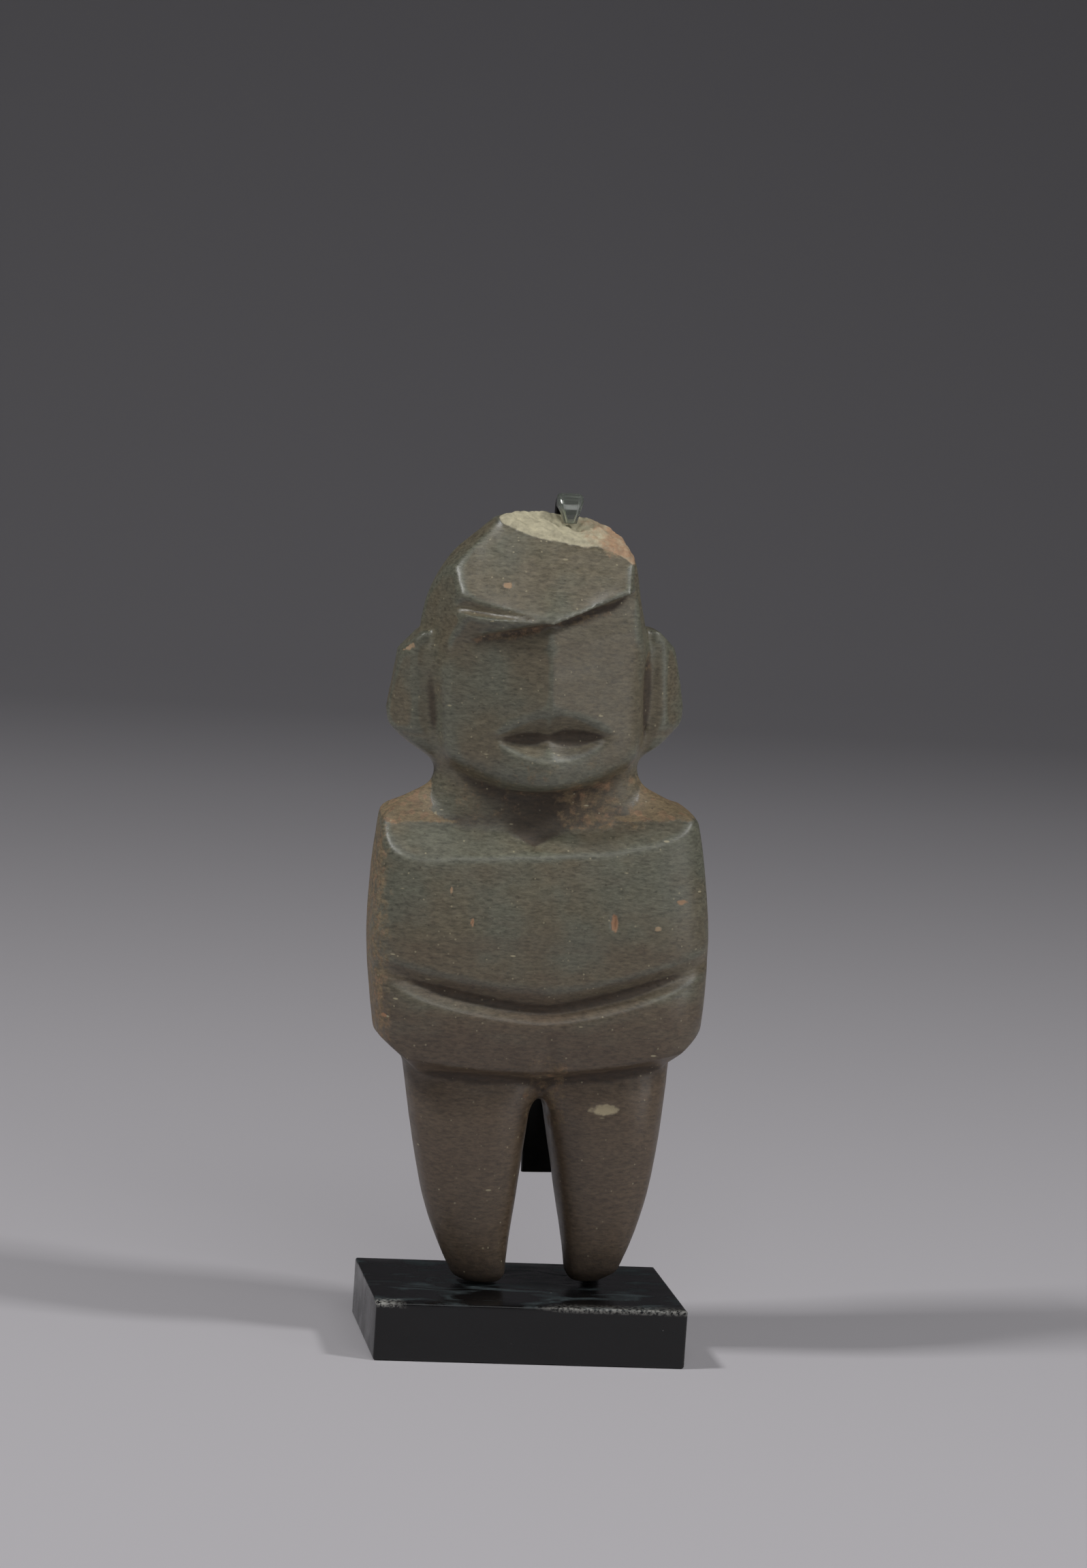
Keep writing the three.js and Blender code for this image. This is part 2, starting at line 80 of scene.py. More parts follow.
def colour_property(name, description, colour):
    """A colour that a user may change, from its sRGB hex value."""
    return bpy.props.FloatVectorProperty(
        name=name,
        description=description,
        subtype="COLOR",
        size=4,
        min=0,
        max=1,
        default=linear(colour),
    )


class FigureSettings(bpy.types.PropertyGroup):
    """Sizes and colours of the carved stone figure."""

    cell: bpy.props.FloatProperty(
        name="Cell",
        description="Edge length of the cells that the figure's skin is made of",
        default=0.58 * MM,
        min=0.3 * MM,
        max=2 * MM,
        precision=5,
        unit="LENGTH",
    )
    wear: bpy.props.IntProperty(
        name="Wear",
        description="How many times the crisp carved edges are eased",
        default=5,
        min=0,
        max=60,
    )
    soft_wear: bpy.props.IntProperty(
        name="Soft wear",
        description="How many times the softly rounded places are eased",
        default=70,
        min=0,
        max=400,
    )
    wander: bpy.props.FloatProperty(
        name="Wander",
        description="How far the hand-ground surface strays from true",
        default=0.16 * MM,
        min=0,
        max=1 * MM,
        precision=5,
        unit="LENGTH",
    )
    break_depth: bpy.props.FloatProperty(
        name="Break depth",
        description="How rough the break on the crown is",
        default=0.3 * MM,
        min=0,
        max=2 * MM,
        precision=5,
        unit="LENGTH",
    )
    olive: colour_property("Olive", "Polished stone of the head and chest", "#6b6350")
    green: colour_property("Green", "Greener clouds in the polished stone", "#69695a")
    brown: colour_property("Brown", "Stone of the legs and feet", "#5c4c3c")
    # Dark patina of the carved recesses. It is also laid on as painted shade in the hollows and at the
    # soles, and it colours the dark flecks.
    dark_patina_and_shade: colour_property("Recess", "Dark patina in the carved recesses", "#3a2d20")
    deposit: colour_property("Deposit", "Tan earth left on the rougher places", "#8f7a59")
    speck: colour_property("Speck", "Small pale crystals and nicks", "#b5ab8c")
    fresh: colour_property("Break", "Inner stone where the crown is broken", "#c3bb9e")
    rusty: colour_property("Rusty break", "Reddish stone at the break's edge and in chips", "#b08462")


class StandSettings(bpy.types.PropertyGroup):
    """Sizes and colours of the display stand."""

    edge: bpy.props.FloatProperty(
        name="Edge",
        description="Radius of the base block's eased edges",
        default=0.5 * MM,
        min=0.1 * MM,
        max=2 * MM,
        precision=5,
        unit="LENGTH",
    )
    lacquer: colour_property("Lacquer", "Black lacquer of the base block", "#0d0d0e")
    smudge: colour_property("Smudge", "Rubbed and dusty places on the lacquer", "#3d4648")
    steel: colour_property("Steel", "Blackened steel of the bracket", "#1c1b1a")
    clear: colour_property("Clear plastic", "Tint of the clear sleeve", "#dfe6dc")


class StudioSettings(bpy.types.PropertyGroup):
    """Light and ground of the photograph's studio."""

    floor: colour_property("Floor", "Pale floor sheet", "#c9c6ca")
    far: colour_property("Far backdrop", "Backdrop where it falls into shade", "#070708")
    key: bpy.props.FloatProperty(
        name="Left light",
        description="Power of the light high at the left, whose shadow falls to the right",
        default=5.5,
        min=0,
        unit="POWER",
    )
    side: bpy.props.FloatProperty(
        name="Right light",
        description="Power of the light high at the right, whose shadow falls to the left",
        default=4,
        min=0,
        unit="POWER",
    )
    fill: bpy.props.FloatProperty(
        name="Front light",
        description="Power of the large weak light over the camera",
        default=3,
        min=0,
        unit="POWER",
    )
    card: bpy.props.FloatProperty(
        name="Card",
        description="Power of the low soft card at the right front",
        default=0.8,
        min=0,
        unit="POWER",
    )


def select_only(piece):
    """Deselects everything, then selects one piece and makes it active."""
    bpy.ops.object.select_all(action="DESELECT")
    piece.select_set(True)
    bpy.context.view_layer.objects.active = piece


def apply_modifier(piece, kind, **settings):
    """Gives the piece a modifier with these settings and applies it."""
    select_only(piece)
    modifier = piece.modifiers.new(kind.title(), kind)
    for key, value in settings.items():
        setattr(modifier, key, value)
    bpy.ops.object.modifier_apply(modifier=modifier.name)


def copy_of_node(node, name):
    """A new piece with the merged mesh of a CAD node."""
    piece = bpy.data.objects.new(name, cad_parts[node].data.copy())
    piece.data.name = name
    piece.data.materials.clear()
    bpy.context.scene.collection.objects.link(piece)
    select_only(piece)
    bpy.ops.object.mode_set(mode="EDIT")
    bpy.ops.mesh.select_all(action="SELECT")
    bpy.ops.mesh.remove_doubles(threshold=0.001 * MM)
    bpy.ops.mesh.normals_make_consistent(inside=False)
    bpy.ops.object.mode_set(mode="OBJECT")
    return piece


def settle(piece, node, material):
    """Gives a finished piece its material and hangs it on the frame in place of its node."""
    piece.data.materials.clear()
    piece.data.materials.append(material)
    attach(piece, "root")
    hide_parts(node)


def points_of(mesh):
    """The mesh's points in mm."""
    flat = np.empty(len(mesh.vertices) * 3)
    mesh.vertices.foreach_get("co", flat)
    return flat.reshape(-1, 3) / MM


def normals_of(mesh):
    """The direction that the mesh faces at each of its points."""
    flat = np.empty(len(mesh.vertices) * 3)
    mesh.vertex_normals.foreach_get("vector", flat)
    return flat.reshape(-1, 3)


def place_points(mesh, points):
    """Moves the mesh's points to these places, in mm."""
    mesh.vertices.foreach_set("co", (points * MM).ravel())
    mesh.update()


def set_attribute(mesh, name, values):
    """Keeps one number for each point of the mesh, for its material to read."""
    attribute = mesh.attributes.new(name, "FLOAT", "POINT")
    attribute.data.foreach_set("value", np.clip(values, 0, 1).astype(np.float32))


def smooth_step(low, high, value):
    """0 below low and 1 above high, with an easy turn at both."""
    share = np.clip((value - low) / (high - low), 0, 1)
    return share * share * (3 - 2 * share)


def within(value, low, high, soft):
    """1 between low and high, fading to 0 over a soft width outside them."""
    return smooth_step(low - soft, low, value) * (1 - smooth_step(high, high + soft, value))


def eased(mesh, points, rounds):
    """The points after rounds of moving each one halfway to the middle of its neighbours."""
    ends = np.empty(len(mesh.edges) * 2, np.int64)
    mesh.edges.foreach_get("vertices", ends)
    first, second = ends[0::2], ends[1::2]
    count = np.bincount(ends, minlength=len(points))[:, None]
    for _ in range(rounds):
        sums = [
            np.bincount(first, points[second, axis], len(points))
            + np.bincount(second, points[first, axis], len(points))
            for axis in range(3)
        ]
        points = (points + np.stack(sums, axis=1) / count) / 2
    return points


def noise_at(points, size, seed, octaves=1):
    """Smooth noise from about -1 to 1 with lumps of this size in mm."""
    shift = Vector((seed * 17.3, seed * 5.9, seed * 11.7))
    places = [Vector(p) + shift for p in points / size]
    return np.array([noise.fractal(p, 1, 2, octaves) for p in places])


def figure_axes(points):
    """Points of the frame, in mm, seen in the figure's own upright axes."""
    moved = points - FIGURE_PLACE
    cosine, sine = math.cos(FIGURE_LEAN), math.sin(FIGURE_LEAN)
    across = moved[:, 0] * cosine + moved[:, 2] * sine
    height = moved[:, 2] * cosine - moved[:, 0] * sine
    return np.stack([across, moved[:, 1], height], axis=1)


def break_height(own):
    """Height of the rough break on the crown over each point, in the figure's axes."""
    x, y = own[:, 0], own[:, 1]
    away = x - 8.4
    lie = np.where(away < 0, -0.18 * away, -0.034 * away * away)
    return 155.4 + 0.42 * y + lie


def on_break(own):
    """1 on the break, 0 on the polished stone around it."""
    span = within(own[:, 0], -7.5, 21, 2) * within(own[:, 1], -12.5, 14, 2)
    return span * smooth_step(-1.6, -0.5, own[:, 2] - break_height(own))


# Chips on the front: across, height, half width, half height, depth (mm), and 1 where rusty.
CHIPS = (
    (13.5, 76.3, 0.8, 1.8, 0.5, 1),
    (27.6, 80.2, 1.3, 0.6, 0.15, 0.8),
    (-15.3, 77.2, 0.4, 1.3, 0.2, 0.9),
    (-19.3, 83.4, 0.35, 0.9, 0.15, 0.7),
    (22.4, 75, 0.8, 0.6, 0.1, 0.5),
    (-32.4, 57.7, 0.5, 0.6, 0.2, 1),
    (-8.2, 144.1, 0.9, 0.7, 0.1, 0.7),
    (-21.5, 97.9, 0.4, 0.4, 0.2, 0),
    # The knee chip is a shallow dent. Its pale tint also stands for its lit rim, a painted highlight.
    (12.6, 37.4, 3, 1.2, 0.35, 0.1),
    (-27.6, 131.6, 2, 1.2, 0.4, 0.6),
)


def cut_chips(mesh):
    """Pushes the chips into the front and returns how far in a chip, and how rusty, each point is."""
    points = points_of(mesh)
    own = figure_axes(points)
    normals = normals_of(mesh)
    front = normals[:, 1] < -0.2
    depth = np.zeros(len(points))
    share = np.zeros(len(points))
    rust = np.zeros(len(points))
    ragged = noise_at(points, 0.9, 3, 2)
    for across, height, half_width, half_height, deep, rusty in CHIPS:
        reach = np.hypot((own[:, 0] - across) / half_width, (own[:, 2] - height) / half_height)
        reach = reach + 0.3 * ragged
        inside = np.where(front, 1 - smooth_step(0.5, 1.2, reach), 0)
        depth = np.maximum(depth, deep * inside)
        share = np.maximum(share, np.where(front, 1 - smooth_step(0.3, 1.7, reach), 0))
        rust = np.where(reach < 3, rusty, rust)
    place_points(mesh, points - normals * depth[:, None])
    return share, rust


def softness(own):
    """How softly each place is rounded: 0 on crisp carved edges, 1 where planes flow together."""
    x, y, z = own.T
    side = np.abs(x)
    lips = 1 - smooth_step(0.9, 1.5, np.hypot((x - 0.4) / 10.5, (z - 116.2) / 6))
    face = within(z, 108, 130, 4) * smooth_step(10, 18, side) * smooth_step(26, 23, side) * (y < -3)
    chin = within(z, 98, 109, 2) * (1 - smooth_step(20, 24, side))
    throat = within(z, 92, 108, 3) * (1 - smooth_step(12, 20, side))
    shoulders = within(z, 99, 113, 2.5) * within(side, 0, 27, 4)
    forehead = within(z, 142, 155, 4) * (1 - smooth_step(12, 18, side)) * 0.8
    legs = smooth_step(44, 36, z) * smooth_step(1, 6, z) * 0.7
    soft = np.maximum.reduce([face, chin, throat, shoulders, forehead, legs, 0.15 + 0 * x])
    return soft * (1 - lips)


def split_break(piece):
    """Splits the faces on the break, so that it can be rougher than the ground stone."""
    mesh = piece.data
    chosen = on_break(figure_axes(points_of(mesh))) > 0.3
    select_only(piece)
    bpy.ops.object.mode_set(mode="EDIT")
    bpy.ops.mesh.select_mode(type="VERT")
    bpy.ops.mesh.select_all(action="DESELECT")
    bpy.ops.object.mode_set(mode="OBJECT")
    mesh.vertices.foreach_set("select", chosen)
    bpy.ops.object.mode_set(mode="EDIT")
    bpy.ops.mesh.select_mode(type="VERT")
    bpy.ops.mesh.subdivide(number_cuts=1)
    bpy.ops.object.mode_set(mode="OBJECT")


def carve_figure(settings):
    """The figure's mesh: eased edges, a slightly uneven ground surface, the break and the chips."""
    piece = copy_of_node("idol", "carved_figure")
    apply_modifier(
        piece,
        "REMESH",
        mode="VOXEL",
        voxel_size=settings.cell,
        use_smooth_shade=True,
    )
    mesh = piece.data
    kept = on_break(figure_axes(points_of(mesh)))
    ground = piece.vertex_groups.new(name="ground")
    for level in range(1, 5):
        chosen = np.nonzero(np.round((1 - kept) * 4) == level)[0]
        ground.add(chosen.tolist(), level / 4, "REPLACE")
    apply_modifier(
        piece,
        "SMOOTH",
        factor=0.5,
        iterations=settings.wear,
        vertex_group="ground",
    )
    piece.vertex_groups.clear()
    split_break(piece)

    points = points_of(mesh)
    kept = on_break(figure_axes(points))[:, None]
    soft = softness(figure_axes(points))[:, None] * (1 - kept)
    place_points(mesh, points + (eased(mesh, points, settings.soft_wear) - points) * soft)

    points = points_of(mesh)
    wander = 0.8 * noise_at(points, 11, 1) + 0.3 * noise_at(points, 3.5, 2)
    rough = np.abs(noise_at(points, 3.6, 5, 3)) * 2 - 0.8 + 0.35 * noise_at(points, 1.3, 6, 2)
    wander = wander[:, None] * settings.wander / MM * (1 - kept)
    rough = rough[:, None] * settings.break_depth / MM * kept
    place_points(mesh, points + normals_of(mesh) * (wander + rough))
    share, rust = cut_chips(mesh)
    set_attribute(mesh, "chip", share)
    set_attribute(mesh, "rust", rust)
    mark_figure(mesh)
    return piece


def mark_figure(mesh):
    """Marks where the stone is hollow, proud, broken or holds earth, and how near the soles it is;
    hollow and sole set the painted shade.
    """
    points = points_of(mesh)
    own = figure_axes(points)
    normals = normals_of(mesh)
    x, y, z = own.T
    near = np.einsum("ij,ij->i", points - eased(mesh, points, 24), normals)
    far = np.einsum("ij,ij->i", points - eased(mesh, points, 220), normals)
    # hollow and sole set where shade is painted into the stone's colour: darker in concave places, where
    # the real patina also lies, and darker towards the soles.
    set_attribute(mesh, "hollow", smooth_step(0.05, 0.9, -far))
    set_attribute(mesh, "proud", smooth_step(0.04, 0.3, near))
    set_attribute(mesh, "broken", on_break(own))
    set_attribute(mesh, "sole", smooth_step(12, 0, z))

    shoulder_tops = within(z, 97, 112, 2) * smooth_step(0.25, 0.7, normals[:, 2])
    shoulder_tops = shoulder_tops * smooth_step(6, 14, np.abs(x)) * smooth_step(-16.5, -11, y)
    neck = within(z, 98, 108, 3) * within(np.abs(x), 0, 20, 2) * 0.35
    eye_band = within(z, 127, 138, 2) * smooth_step(0.1, 0.6, -far) * 0.5
    throat = within(z, 95, 104, 2) * within(x, 4, 20, 5) * 0.5
    left_side = smooth_step(-29, -33, x) * within(z, 50, 104, 6) * 0.6
    crotch = within(x, -3, 4, 3) * within(z, 34, 48, 4) * 0.45
    crown_side = within(x, 13, 20, 3) * within(z, 150, 158, 3) * 0.6
    marks = [shoulder_tops, neck, eye_band, throat, left_side, crotch, crown_side]
    set_attribute(mesh, "earth", np.maximum.reduce(marks))


def add_node(tree, kind, inputs=None, out=0, stops=None, **settings):
    """Adds a shader node with its settings, inputs and colour stops, and gives one of its outputs.

    An input is a number, a colour or the output of another node.
    """
    node = tree.nodes.new("ShaderNode" + kind)
    for name, value in settings.items():
        setattr(node, name, value)
    for name, value in (inputs or {}).items():
        if isinstance(value, bpy.types.NodeSocket):
            tree.links.new(value, node.inputs[name])
        else:
            node.inputs[name].default_value = value
    if stops:
        elements = node.color_ramp.elements
        while len(elements) < len(stops):
            elements.new(1)
        for element, (position, colour) in zip(elements, stops):
            element.position = position
            element.color = colour
    return node.outputs[out]


def new_material(name, surface):
    """A material with its plain shader, which takes the sockets and values of surface.

    surface is called with the function that adds a node and with the object's coordinates.
    """
    material = bpy.data.materials.new(name)
    material.use_nodes = True
    tree = material.node_tree
    shader = tree.nodes["Principled BSDF"]
    place = add_node(tree, "TexCoord", out="Object")
    for name, value in surface(partial(add_node, tree), place).items():
        if isinstance(value, bpy.types.NodeSocket):
            tree.links.new(value, shader.inputs[name])
        else:
            shader.inputs[name].default_value = value
    return material


def per(size):
    """Texture scale, in turns a metre, that gives a pattern of this size in mm."""
    return 1 / (size * MM)


def stone_surface(stone, add, place):
    """Hand-ground and polished hardstone, dark olive to brown, with its patina.

    A fine-grained metamorphic stone takes a soft shine, with small pale and dark grains, a
    browner and duller skin in the recesses, painted shade in the hollows and at the soles, and tan
    earth that never came off the rough places.
    """
    hollow, proud, broken, earth, chip, rust, sole = (
        add("Attribute", out="Fac", attribute_name=name)
        for name in ("hollow", "proud", "broken", "earth", "chip", "rust", "sole")
    )
    # Grinding marks and the stone's own grain lie level, so the fine patterns are drawn out
    # sideways: about a millimetre long and a third as high.
    drawn = add("Mapping", {"Vector": place, "Scale": (0.45, 0.45, 1.3)}, vector_type="POINT")
    clouds = add("TexNoise", {"Vector": place, "Scale": per(17), "Detail": 4})
    streaks = add("TexNoise", {"Vector": drawn, "Scale": per(5), "Detail": 5, "Roughness": 0.65})
    mottle = add("TexNoise", {"Vector": place, "Scale": per(2.2), "Detail": 5, "Roughness": 0.7})
    dashes = add("TexNoise", {"Vector": drawn, "Scale": per(0.6), "Detail": 3, "Roughness": 0.7})
    ragged = add("Math", {0: mottle, 1: 1.4, 2: -0.7}, operation="MULTIPLY_ADD")

    # Broad colour: olive, greener where it is worn smooth, browner from the hips down.
    worn = add("Math", {0: proud, 1: 0.35, 2: clouds}, operation="MULTIPLY_ADD")
    worn = add("MapRange", {0: worn, 1: 0.42, 2: 0.66}, interpolation_type="SMOOTHSTEP")
    colour = add("Mix", {0: worn, 6: stone.olive[:], 7: stone.green[:]}, 2, data_type="RGBA")
    height = add("SeparateXYZ", {0: place}, "Z")
    down = add("MapRange", {0: height, 1: 95 * MM, 2: 50 * MM}, interpolation_type="SMOOTHSTEP")
    down = add("Math", {0: streaks, 1: 1.2, 2: down}, operation="MULTIPLY_ADD")
    down = add("MapRange", {0: down, 1: 0.5, 2: 1.5, 4: 0.9}, interpolation_type="SMOOTHSTEP")
    colour = add("Mix", {0: down, 6: colour, 7: stone.brown[:]}, 2, data_type="RGBA")

    # Dark patina in the hollows, deepened there and towards the soles with painted shade, with ragged
    # edges.
    deep = add("Math", {0: hollow, 1: sole}, operation="MAXIMUM")
    deep = add("Math", {0: ragged, 1: 0.35, 2: deep}, operation="MULTIPLY_ADD")
    deep = add("MapRange", {0: deep, 1: 0.12, 2: 0.95, 4: 0.85}, interpolation_type="SMOOTHSTEP")
    colour = add("Mix", {0: deep, 6: colour, 7: stone.dark_patina_and_shade[:]}, 2, data_type="RGBA")

    # Tan earth with rusty grains, in small patches on the shoulders and in the carved angles.
    soil = add("TexVoronoi", {"Vector": place, "Scale": per(1.3)}, "Color")
    soil = add("SeparateColor", {0: soil})
    soil = add("MapRange", {0: soil, 1: 0.55, 2: 0.95, 4: 0.6})
    soil = add("Mix", {0: soil, 6: stone.deposit[:], 7: stone.rusty[:]}, 2, data_type="RGBA")
    crumbs = add("Math", {0: earth, 1: ragged}, operation="ADD")
    crumbs = add("MapRange", {0: crumbs, 1: 0.35, 2: 0.8, 4: 0.7}, interpolation_type="SMOOTHSTEP")
    colour = add("Mix", {0: crumbs, 6: colour, 7: soil}, 2, data_type="RGBA")

    # Grains of 0.3 to 0.8 mm: light and dark dashes, a few pale or dark flecks, rare nicks.
    grains = add("TexVoronoi", {"Vector": drawn, "Scale": per(0.62)}, "Color")
    grain = add("SeparateColor", {0: grains})
    shade = add("MapRange", {0: dashes, 1: 0.3, 2: 0.7, 3: 0.66, 4: 1.34})
    shade = add("Math", {0: grain, 1: 0.28, 2: shade}, operation="MULTIPLY_ADD")
    shade = add("Math", {0: shade, 1: 0.14}, operation="SUBTRACT")
    colour = add("VectorMath", {0: colour, "Scale": shade}, operation="SCALE")
    flecks = add("TexVoronoi", {"Vector": place, "Scale": per(1.1)})
    lot = add("SeparateColor", {0: flecks.node.outputs["Color"]})
    fleck = add("MapRange", {0: flecks, 1: 0.24, 2: 0.12}, interpolation_type="SMOOTHSTEP")
    pale = add("MapRange", {0: lot, 1: 0.84, 2: 0.96, 4: 0.55})
    pale = add("Math", {0: pale, 1: fleck}, operation="MULTIPLY")
    colour = add("Mix", {0: pale, 6: colour, 7: stone.speck[:]}, 2, data_type="RGBA")
    dark = add("MapRange", {0: lot, 1: 0.16, 2: 0.04, 4: 0.5})
    dark = add("Math", {0: dark, 1: fleck}, operation="MULTIPLY")
    colour = add("Mix", {0: dark, 6: colour, 7: stone.dark_patina_and_shade[:]}, 2, data_type="RGBA")
    nicks = add("TexVoronoi", {"Vector": drawn, "Scale": per(3.4)})
    nick_lot = add("SeparateColor", {0: nicks.node.outputs["Color"]})
    nick = add("MapRange", {0: nicks, 1: 0.1, 2: 0.05}, interpolation_type="SMOOTHSTEP")
    nick_lot = add("MapRange", {0: nick_lot, 1: 0.72, 2: 0.78, 4: 0.8})
    nick = add("Math", {0: nick, 1: nick_lot}, operation="MULTIPLY")
    colour = add("Mix", {0: nick, 6: colour, 7: stone.speck[:]}, 2, data_type="RGBA")

    # Chips show paler or rusty stone with a ragged rim.
    chipped = add("Math", {0: ragged, 1: 0.4, 2: chip}, operation="MULTIPLY_ADD")
    chipped = add("MapRange", {0: chipped, 1: 0.4, 2: 0.8, 4: 0.85}, interpolation_type="SMOOTHSTEP")
    inside = add("Mix", {0: rust, 6: stone.speck[:], 7: stone.rusty[:]}, 2, data_type="RGBA")
    colour = add("Mix", {0: chipped, 6: colour, 7: inside}, 2, data_type="RGBA")

    # The break: pale stone, rusty and speckled towards the right end of the crown.
    across = add("SeparateXYZ", {0: place}, "X")
    right = add("MapRange", {0: across, 1: -4 * MM, 2: 8 * MM, 4: 0.9})
    right = add("Math", {0: ragged, 1: 1.1, 2: right}, operation="MULTIPLY_ADD")
    right = add("MapRange", {0: right, 1: 0.4, 2: 1.1, 4: 0.8}, interpolation_type="SMOOTHSTEP")
    inner = add("Mix", {0: right, 6: stone.fresh[:], 7: stone.rusty[:]}, 2, data_type="RGBA")
    lumps = add("TexNoise", {"Vector": place, "Scale": per(1.6), "Detail": 4, "Roughness": 0.65})
    lumps = add("MapRange", {0: lumps, 1: 0.3, 2: 0.7, 3: 0.62, 4: 1.12})
    inner = add("VectorMath", {0: inner, "Scale": lumps}, operation="SCALE")
    opened = add("Math", {0: ragged, 1: 0.5, 2: broken}, operation="MULTIPLY_ADD")
    opened = add("MapRange", {0: opened, 1: 0.35, 2: 0.65}, interpolation_type="SMOOTHSTEP")
    colour = add("Mix", {0: opened, 6: colour, 7: inner}, 2, data_type="RGBA")

    # Gloss: softly shiny where it is ground, dull in the recesses, on earth and on the break.
    dull = add("Math", {0: crumbs, 1: deep}, operation="MAXIMUM")
    raw = add("Math", {0: opened, 1: chipped}, operation="MAXIMUM")
    dull = add("Math", {0: dull, 1: raw}, operation="MAXIMUM")
    gloss = add("MapRange", {0: streaks, 1: 0.3, 2: 0.7, 3: 0.3, 4: 0.42})
    gloss = add("Math", {0: dull, 1: 0.35, 2: gloss}, operation="MULTIPLY_ADD")
    gloss = add("Math", {0: dashes, 1: 0.14, 2: gloss}, operation="MULTIPLY_ADD")

    # Relief: grains of a few hundredths of a millimetre and a soft dimpling, rougher where dull.
    coarse = add("Math", {0: dull, 1: 2.4, 2: 0.35}, operation="MULTIPLY_ADD")
    relief = add("Math", {0: mottle, 1: coarse}, operation="MULTIPLY")
    relief = add("Math", {0: dashes, 1: 0.7, 2: relief}, operation="MULTIPLY_ADD")
    relief = add("Math", {0: grain, 1: 0.15, 2: relief}, operation="MULTIPLY_ADD")
    relief = add("Math", {0: nick, 1: -0.6, 2: relief}, operation="MULTIPLY_ADD")
    bump = add("Bump", {"Strength": 0.5, "Distance": 0.1 * MM, "Height": relief})
    return {"Base Color": colour, "Roughness": gloss, "Normal": bump, "IOR": 1.62}


def lacquer_surface(stand, add, place):
    """Wood under black lacquer: a near-black gloss film with rubbed, dusty and worn places, and a
    painted highlight along the right part of the top's front edge.
    """
    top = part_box("block")[1].z
    drawn = add("Mapping", {"Vector": place, "Scale": (0.5, 1.2, 1)}, vector_type="POINT")
    swirls = add("TexNoise", {"Vector": drawn, "Scale": per(6), "Detail": 5, "Distortion": 0.8})
    dust = add("TexNoise", {"Vector": place, "Scale": per(0.8), "Detail": 3, "Roughness": 0.7})
    grainy = add("MapRange", {0: dust, 1: 0.3, 2: 0.6, 3: 0.5})
    axes = add("SeparateXYZ", {0: place}, "Z")
    upper = add("MapRange", {0: axes, 1: top - 0.6 * MM, 2: top - 0.1 * MM})
    rubbed = add("MapRange", {0: swirls, 1: 0.46, 2: 0.66, 4: 0.9}, interpolation_type="SMOOTHSTEP")
    rubbed = add("Math", {0: rubbed, 1: upper}, operation="MULTIPLY")
    rubbed = add("Math", {0: rubbed, 1: grainy}, operation="MULTIPLY")
    dots = add("TexVoronoi", {"Vector": place, "Scale": per(3)})
    lot = add("SeparateColor", {0: dots.node.outputs["Color"]})
    lot = add("MapRange", {0: lot, 1: 0.6, 2: 0.68, 4: 0.55})
    fleck = add("MapRange", {0: dots, 1: 0.065, 2: 0.035}, interpolation_type="SMOOTHSTEP")
    fleck = add("Math", {0: fleck, 1: lot}, operation="MULTIPLY")
    # worn holds real wear at the front-left corner and a painted highlight along the right part of the
    # top's front edge; both are drawn pale.
    worn = add("Attribute", out="Fac", attribute_name="worn")
    bare = add("MapRange", {0: dust, 1: 0.42, 2: 0.58})
    worn = add("Math", {0: worn, 1: bare}, operation="MULTIPLY")
    pale = add("Math", {0: fleck, 1: worn}, operation="MAXIMUM")
    colour = add("Mix", {0: rubbed, 6: stand.lacquer[:], 7: stand.smudge[:]}, 2, data_type="RGBA")
    colour = add("Mix", {0: pale, 6: colour, 7: linear("#a9a8a2")}, 2, data_type="RGBA")
    gloss = add("MapRange", {0: swirls, 1: 0.3, 2: 0.7, 3: 0.2, 4: 0.32})
    gloss = add("Math", {0: rubbed, 1: 0.3, 2: gloss}, operation="MULTIPLY_ADD")
    relief = add("Math", {0: swirls, 1: dust}, operation="ADD")
    bump = add("Bump", {"Strength": 0.2, "Distance": 0.03 * MM, "Height": relief})
    return {"Base Color": colour, "Roughness": gloss, "Normal": bump, "IOR": 1.5}


def steel_surface(stand, add, place):
    """Mild steel blackened by heat and oil: a dark, nearly matt skin, greyer where it is rubbed."""
    cloud = add("TexNoise", {"Vector": place, "Scale": per(2.5), "Detail": 5, "Roughness": 0.65})
    colour = add("ValToRGB", {0: cloud}, stops=[(0.3, stand.steel[:]), (0.7, linear("#2b2a28"))])
    gloss = add("MapRange", {0: cloud, 1: 0.3, 2: 0.7, 3: 0.42, 4: 0.6})
    bump = add("Bump", {"Strength": 0.3, "Distance": 0.05 * MM, "Height": cloud})
    return {"Base Color": colour, "Roughness": gloss, "Normal": bump, "Metallic": 0.6}


def clear_surface(stand, add, place):
    """Soft PVC tube, extruded clear: it shows what is behind it, with a slightly waxy gloss."""
    haze = add("TexNoise", {"Vector": place, "Scale": per(1.2), "Detail": 3, "Roughness": 0.6})
    gloss = add("MapRange", {0: haze, 1: 0.3, 2: 0.7, 3: 0.06, 4: 0.16})
    bump = add("Bump", {"Strength": 0.3, "Distance": 0.08 * MM, "Height": haze})
    return {
        "Base Color": stand.clear[:],
        "Roughness": gloss,
        "Normal": bump,
        "Transmission Weight": 0.92,
        "IOR": 1.53,
    }


def paper_with_painted_shade(studio, add, place):
    """Matt seamless paper: pale where the object stands, with painted shade that darkens it more and
    more towards the back and up the backdrop.
    """
    run = add("Attribute", out="Fac", attribute_name="run")
    # From the pale floor to near black along the run: painted shade for the light's falloff towards the
    # back and up the backdrop.
    stops = [(0, studio.floor[:]), (0.35, studio.floor[:]), (0.7, linear("#77767a")), (1, studio.far[:])]
    tone = add("ValToRGB", {0: run}, stops=stops)
    return {"Base Color": tone, "Roughness": 0.8}


